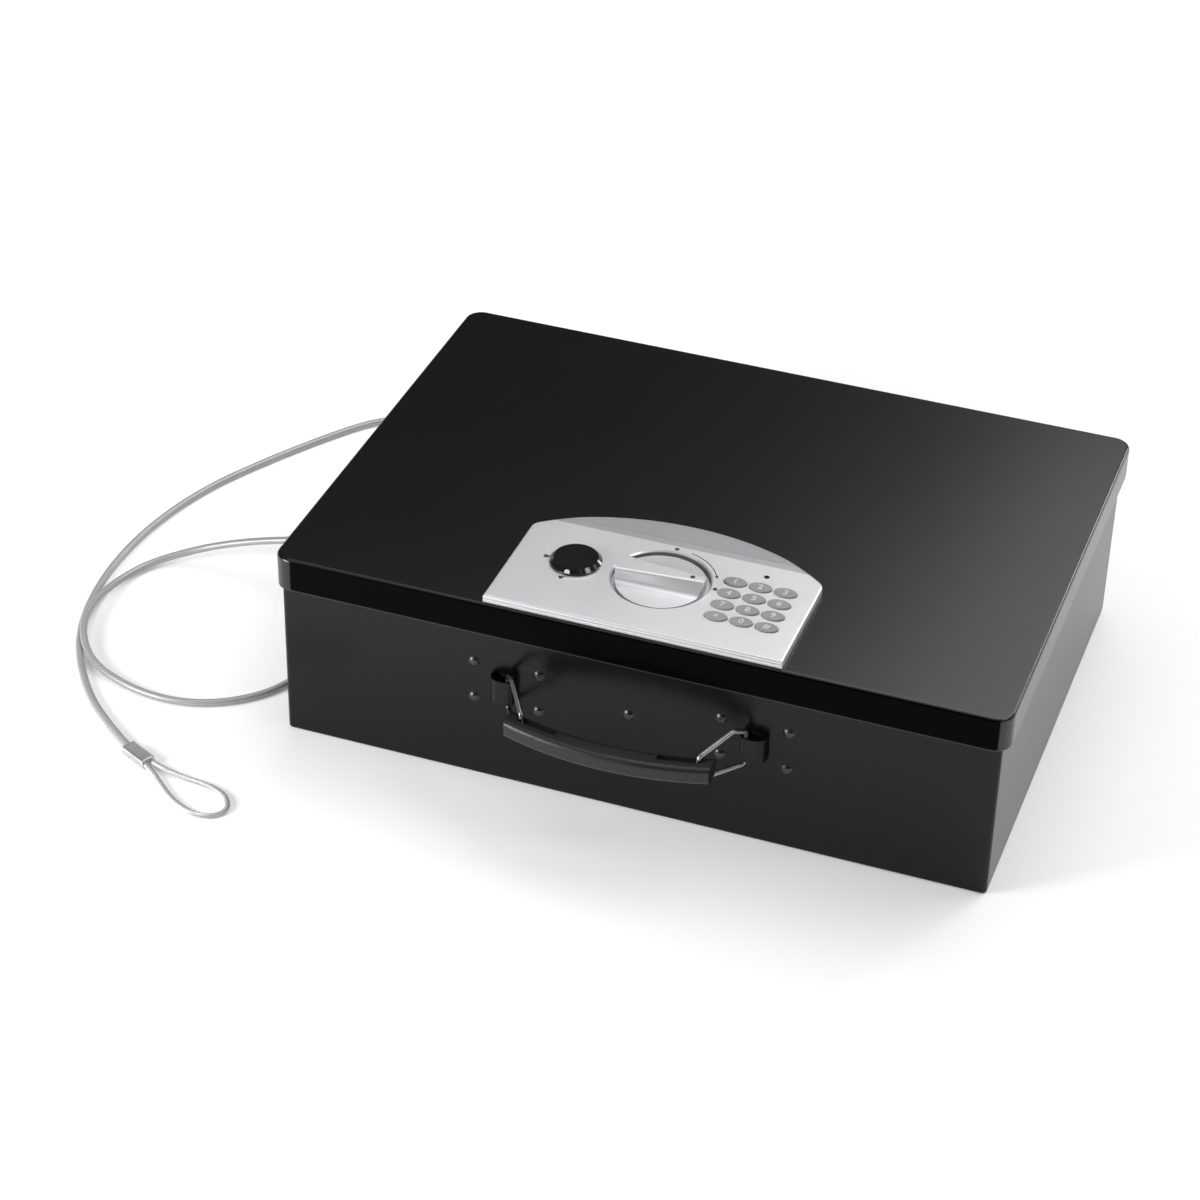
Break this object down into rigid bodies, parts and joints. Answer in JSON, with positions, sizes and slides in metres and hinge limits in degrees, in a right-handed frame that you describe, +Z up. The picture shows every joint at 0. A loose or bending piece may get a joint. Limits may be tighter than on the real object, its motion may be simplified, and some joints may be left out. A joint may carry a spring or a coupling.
{
  "type": "cash box",
  "caption": "Low black steel lock box with a skirted hinged lid, a silver key pad panel with turn knob and key cover, a fold-in carrying handle and a coiled security cable with an eye.",
  "frame": {"origin": "middle of the box's underside, on the floor plane", "axes": "+X right along the front, -Y out of the front (handle side), +Z up"},
  "size_m": [0.6206, 0.459, 0.138],
  "materials": {
    "black_coat": "satin black powder coat",
    "black_plastic": "fine-grained black moulding",
    "gloss_black": "polished black moulding",
    "silver_paint": "silver-painted moulding",
    "key_grey": "grey moulded keys",
    "lamp_lens": "dark tinted lens",
    "zinc_steel": "zinc-plated steel",
    "brass": "turned brass",
    "case_grey": "dark grey moulding",
    "board_green": "green circuit board",
    "ribbon_grey": "flat ribbon",
    "mat_rubber": "moulded rubber",
    "coil_copper": "wound copper",
    "cell_wrap": "printed-free cell wrap",
    "cable_coat": "clear vinyl over steel strand",
    "strand": "twisted steel strand",
    "crimp_alloy": "pressed alloy sleeve",
    "grommet_rubber": "black rubber"
  },
  "bodies": {
    "box": {"box_shell": "black_coat", "hinge_box_leaf": "black_coat", "hinge_pin": "zinc_steel", "handle_plate": "black_coat", "handle_rivets": "black_coat", "cable_grommet": "grommet_rubber", "cable_stop": "crimp_alloy", "cable": "cable_coat", "cable_eye": "strand", "crimp_sleeve": "crimp_alloy"},
    "lid": {"lid_shell": "black_coat", "hinge_lid_leaf": "black_coat", "lock_panel": "silver_paint", "panel_screws": "zinc_steel", "status_lamp": "lamp_lens", "keypad_board": "board_green", "keypad_mat": "mat_rubber", "keypad_ribbon": "ribbon_grey", "knob_bush": "black_plastic", "bolt_guides": "zinc_steel", "solenoid_frame": "zinc_steel", "solenoid_coil": "coil_copper", "key_cylinder": "brass", "cylinder_nut": "brass", "lock_case": "case_grey", "case_pillars": "zinc_steel", "case_screws": "zinc_steel", "battery_tray": "case_grey", "battery_cells": "cell_wrap", "battery_contacts": "zinc_steel", "circuit_board": "board_green"},
    "knob": {"knob": "silver_paint", "knob_shaft": "zinc_steel", "lock_cam": "zinc_steel", "cam_screw": "zinc_steel"},
    "bolts": {"bolt_plate": "zinc_steel", "follower_pin": "zinc_steel"},
    "plunger": {"solenoid_plunger": "zinc_steel"},
    "cover": {"key_cover": "gloss_black"},
    "plug": {"key_plug": "brass", "plug_lever": "zinc_steel"},
    "door": {"battery_door": "case_grey"},
    "grip": {"handle_grip": "black_plastic"},
    "ring_left": {"handle_ring_left": "zinc_steel"},
    "ring_right": {"handle_ring_right": "zinc_steel"},
    "button_1": {"key_1": "key_grey"},
    "button_2": {"key_2": "key_grey"},
    "button_3": {"key_3": "key_grey"},
    "button_4": {"key_4": "key_grey"},
    "button_5": {"key_5": "key_grey"},
    "button_6": {"key_6": "key_grey"},
    "button_7": {"key_7": "key_grey"},
    "button_8": {"key_8": "key_grey"},
    "button_9": {"key_9": "key_grey"},
    "button_clear": {"key_clear": "key_grey"},
    "button_0": {"key_0": "key_grey"},
    "button_enter": {"key_enter": "key_grey"}
  },
  "joints": [
    {"name": "lid_hinge", "type": "hinge", "parent": "box", "child": "lid", "pos_m": [0, 0.1573, 0.1015], "axis": [-1, 0, 0], "range_deg": [0, 100]},
    {"name": "knob_turn", "type": "hinge", "parent": "lid", "child": "knob", "pos_m": [0, -0.1025, 0.13], "axis": [0, 0, 1], "range_deg": [0, 90]},
    {"name": "bolt_slide", "type": "slide", "parent": "lid", "child": "bolts", "axis": [0, -1, 0], "range_m": [0, 0.01]},
    {"name": "plunger_slide", "type": "slide", "parent": "lid", "child": "plunger", "axis": [0, -1, 0], "range_m": [0, 0.005]},
    {"name": "cover_turn", "type": "hinge", "parent": "lid", "child": "cover", "pos_m": [-0.052, -0.1038, 0.13], "axis": [0, 0, -1], "range_deg": [0, 90]},
    {"name": "plug_turn", "type": "hinge", "parent": "lid", "child": "plug", "pos_m": [-0.052, -0.1038, 0.12], "axis": [0, 0, -1], "range_deg": [0, 90]},
    {"name": "door_slide", "type": "slide", "parent": "lid", "child": "door", "axis": [0, 1, 0], "range_m": [0, 0.04]},
    {"name": "grip_slide", "type": "slide", "parent": "box", "child": "grip", "axis": [0, 1, 0], "range_m": [0, 0.0256]},
    {"name": "ring_left_turn", "type": "hinge", "parent": "box", "child": "ring_left", "pos_m": [-0.0727, -0.1591, 0.0695], "axis": [0, 0, 1], "range_deg": [0, 46.8]},
    {"name": "ring_right_turn", "type": "hinge", "parent": "box", "child": "ring_right", "pos_m": [0.0727, -0.1591, 0.0695], "axis": [0, 0, -1], "range_deg": [0, 46.8]},
    {"name": "press_1", "type": "slide", "parent": "lid", "child": "button_1", "axis": [0, 0, -1], "range_m": [0, 0.0007], "stiffness_N_per_m": 400},
    {"name": "press_2", "type": "slide", "parent": "lid", "child": "button_2", "axis": [0, 0, -1], "range_m": [0, 0.0007], "stiffness_N_per_m": 400},
    {"name": "press_3", "type": "slide", "parent": "lid", "child": "button_3", "axis": [0, 0, -1], "range_m": [0, 0.0007], "stiffness_N_per_m": 400},
    {"name": "press_4", "type": "slide", "parent": "lid", "child": "button_4", "axis": [0, 0, -1], "range_m": [0, 0.0007], "stiffness_N_per_m": 400},
    {"name": "press_5", "type": "slide", "parent": "lid", "child": "button_5", "axis": [0, 0, -1], "range_m": [0, 0.0007], "stiffness_N_per_m": 400},
    {"name": "press_6", "type": "slide", "parent": "lid", "child": "button_6", "axis": [0, 0, -1], "range_m": [0, 0.0007], "stiffness_N_per_m": 400},
    {"name": "press_7", "type": "slide", "parent": "lid", "child": "button_7", "axis": [0, 0, -1], "range_m": [0, 0.0007], "stiffness_N_per_m": 400},
    {"name": "press_8", "type": "slide", "parent": "lid", "child": "button_8", "axis": [0, 0, -1], "range_m": [0, 0.0007], "stiffness_N_per_m": 400},
    {"name": "press_9", "type": "slide", "parent": "lid", "child": "button_9", "axis": [0, 0, -1], "range_m": [0, 0.0007], "stiffness_N_per_m": 400},
    {"name": "press_clear", "type": "slide", "parent": "lid", "child": "button_clear", "axis": [0, 0, -1], "range_m": [0, 0.0007], "stiffness_N_per_m": 400},
    {"name": "press_0", "type": "slide", "parent": "lid", "child": "button_0", "axis": [0, 0, -1], "range_m": [0, 0.0007], "stiffness_N_per_m": 400},
    {"name": "press_enter", "type": "slide", "parent": "lid", "child": "button_enter", "axis": [0, 0, -1], "range_m": [0, 0.0007], "stiffness_N_per_m": 400}
  ],
  "couplings": [
    {"joint": "bolt_slide", "follows": "knob_turn", "m_per_rad": 0.0063662},
    {"joint": "ring_left_turn", "follows": "grip_slide", "rad_per_m": 31.906},
    {"joint": "ring_right_turn", "follows": "grip_slide", "rad_per_m": 31.906}
  ]
}
